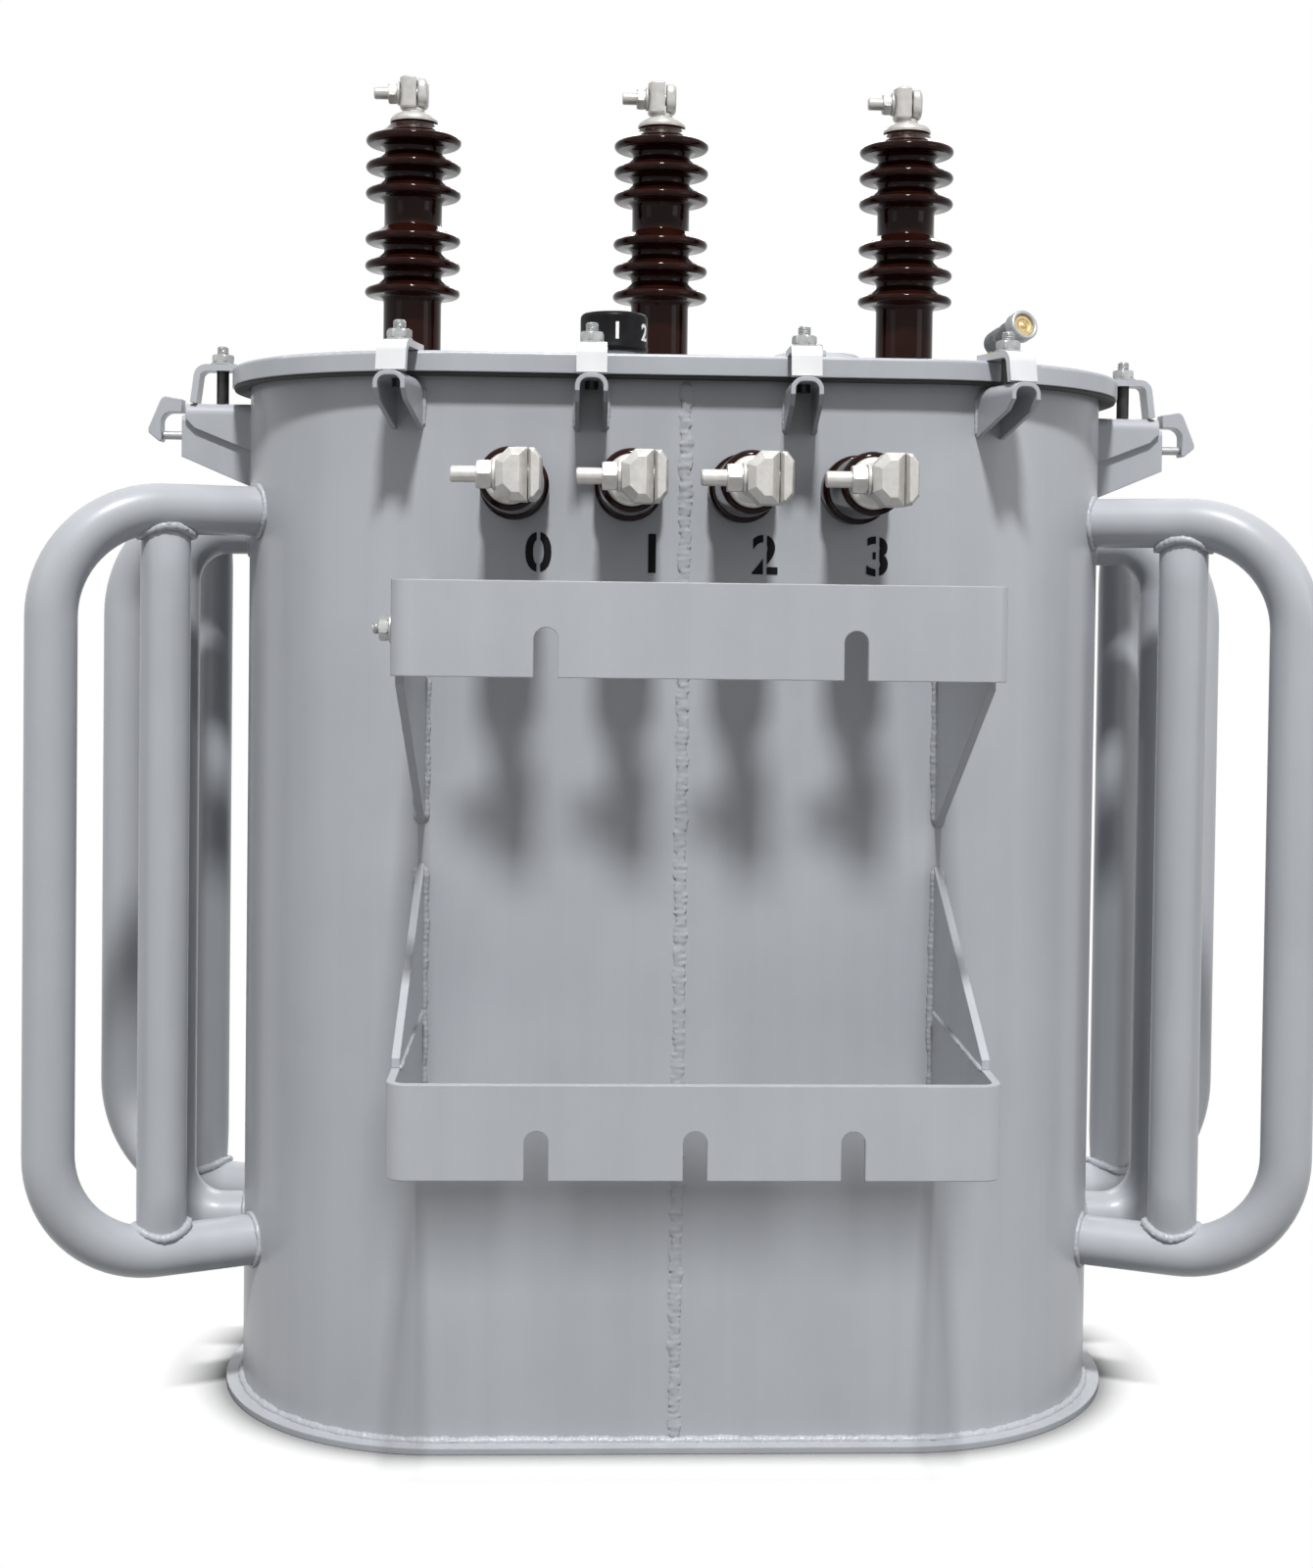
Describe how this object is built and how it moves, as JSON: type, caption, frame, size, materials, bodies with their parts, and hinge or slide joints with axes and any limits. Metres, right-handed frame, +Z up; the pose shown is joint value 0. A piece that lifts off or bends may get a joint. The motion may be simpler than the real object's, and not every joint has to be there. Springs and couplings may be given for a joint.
{
  "type": "power transformer",
  "caption": "Oval-tank pole-type distribution transformer with porcelain bushings, looped tube radiators, clamped lid and slotted pole brackets.",
  "frame": {"origin": "centre of the base plate's underside, on the floor", "axes": "+X to the right seen from the low-voltage side, +Y to the rear (the low-voltage side with the pole brackets faces -Y), +Z up"},
  "size_m": [1.1612, 0.753, 1.271],
  "materials": {
    "grey_paint": "gloss enamel",
    "porcelain": "glazed dark brown",
    "tinned_metal": "satin tin plate",
    "gasket_rubber": "matt",
    "dial_plastic": "matt black",
    "zinc_plated_steel": "zinc plated",
    "valve_metal": "dark satin",
    "valve_brass": "plain brass"
  },
  "bodies": {
    "root": {"base_plate": "grey_paint", "hand_hole_cover": "grey_paint", "hv_bushing_left": "porcelain", "hv_bushing_middle": "porcelain", "hv_bushing_right": "porcelain", "hv_clamp_plates": "tinned_metal", "hv_flanges": "grey_paint", "hv_terminal_left": "tinned_metal", "hv_terminal_middle": "tinned_metal", "hv_terminal_right": "tinned_metal", "lid": "grey_paint", "lid_clamp_bolts": "zinc_plated_steel", "lid_clamp_jaws": "grey_paint", "lid_clamp_seats": "grey_paint", "lid_gasket": "gasket_rubber", "lifting_hooks": "grey_paint", "lifting_lug_left": "grey_paint", "lifting_lug_right": "grey_paint", "lower_gussets": "grey_paint", "lv_bushing_0": "porcelain", "lv_bushing_1": "porcelain", "lv_bushing_2": "porcelain", "lv_bushing_3": "porcelain", "lv_clamp_plates": "tinned_metal", "lv_terminal_0": "tinned_metal", "lv_terminal_1": "tinned_metal", "lv_terminal_2": "tinned_metal", "lv_terminal_3": "tinned_metal", "pole_bracket_lower": "grey_paint", "pole_bracket_upper": "grey_paint", "radiator_left_front_loop": "grey_paint", "radiator_left_middle_loop": "grey_paint", "radiator_left_rear_loop": "grey_paint", "radiator_left_risers": "grey_paint", "radiator_right_front_loop": "grey_paint", "radiator_right_middle_loop": "grey_paint", "radiator_right_rear_loop": "grey_paint", "radiator_right_risers": "grey_paint", "relief_valve_body": "valve_metal", "relief_valve_cap": "valve_brass", "tank_rim": "grey_paint", "tank_shell": "grey_paint", "tap_changer_base": "grey_paint", "tap_changer_dial": "dial_plastic", "upper_gussets": "grey_paint"}
  },
  "joints": []
}
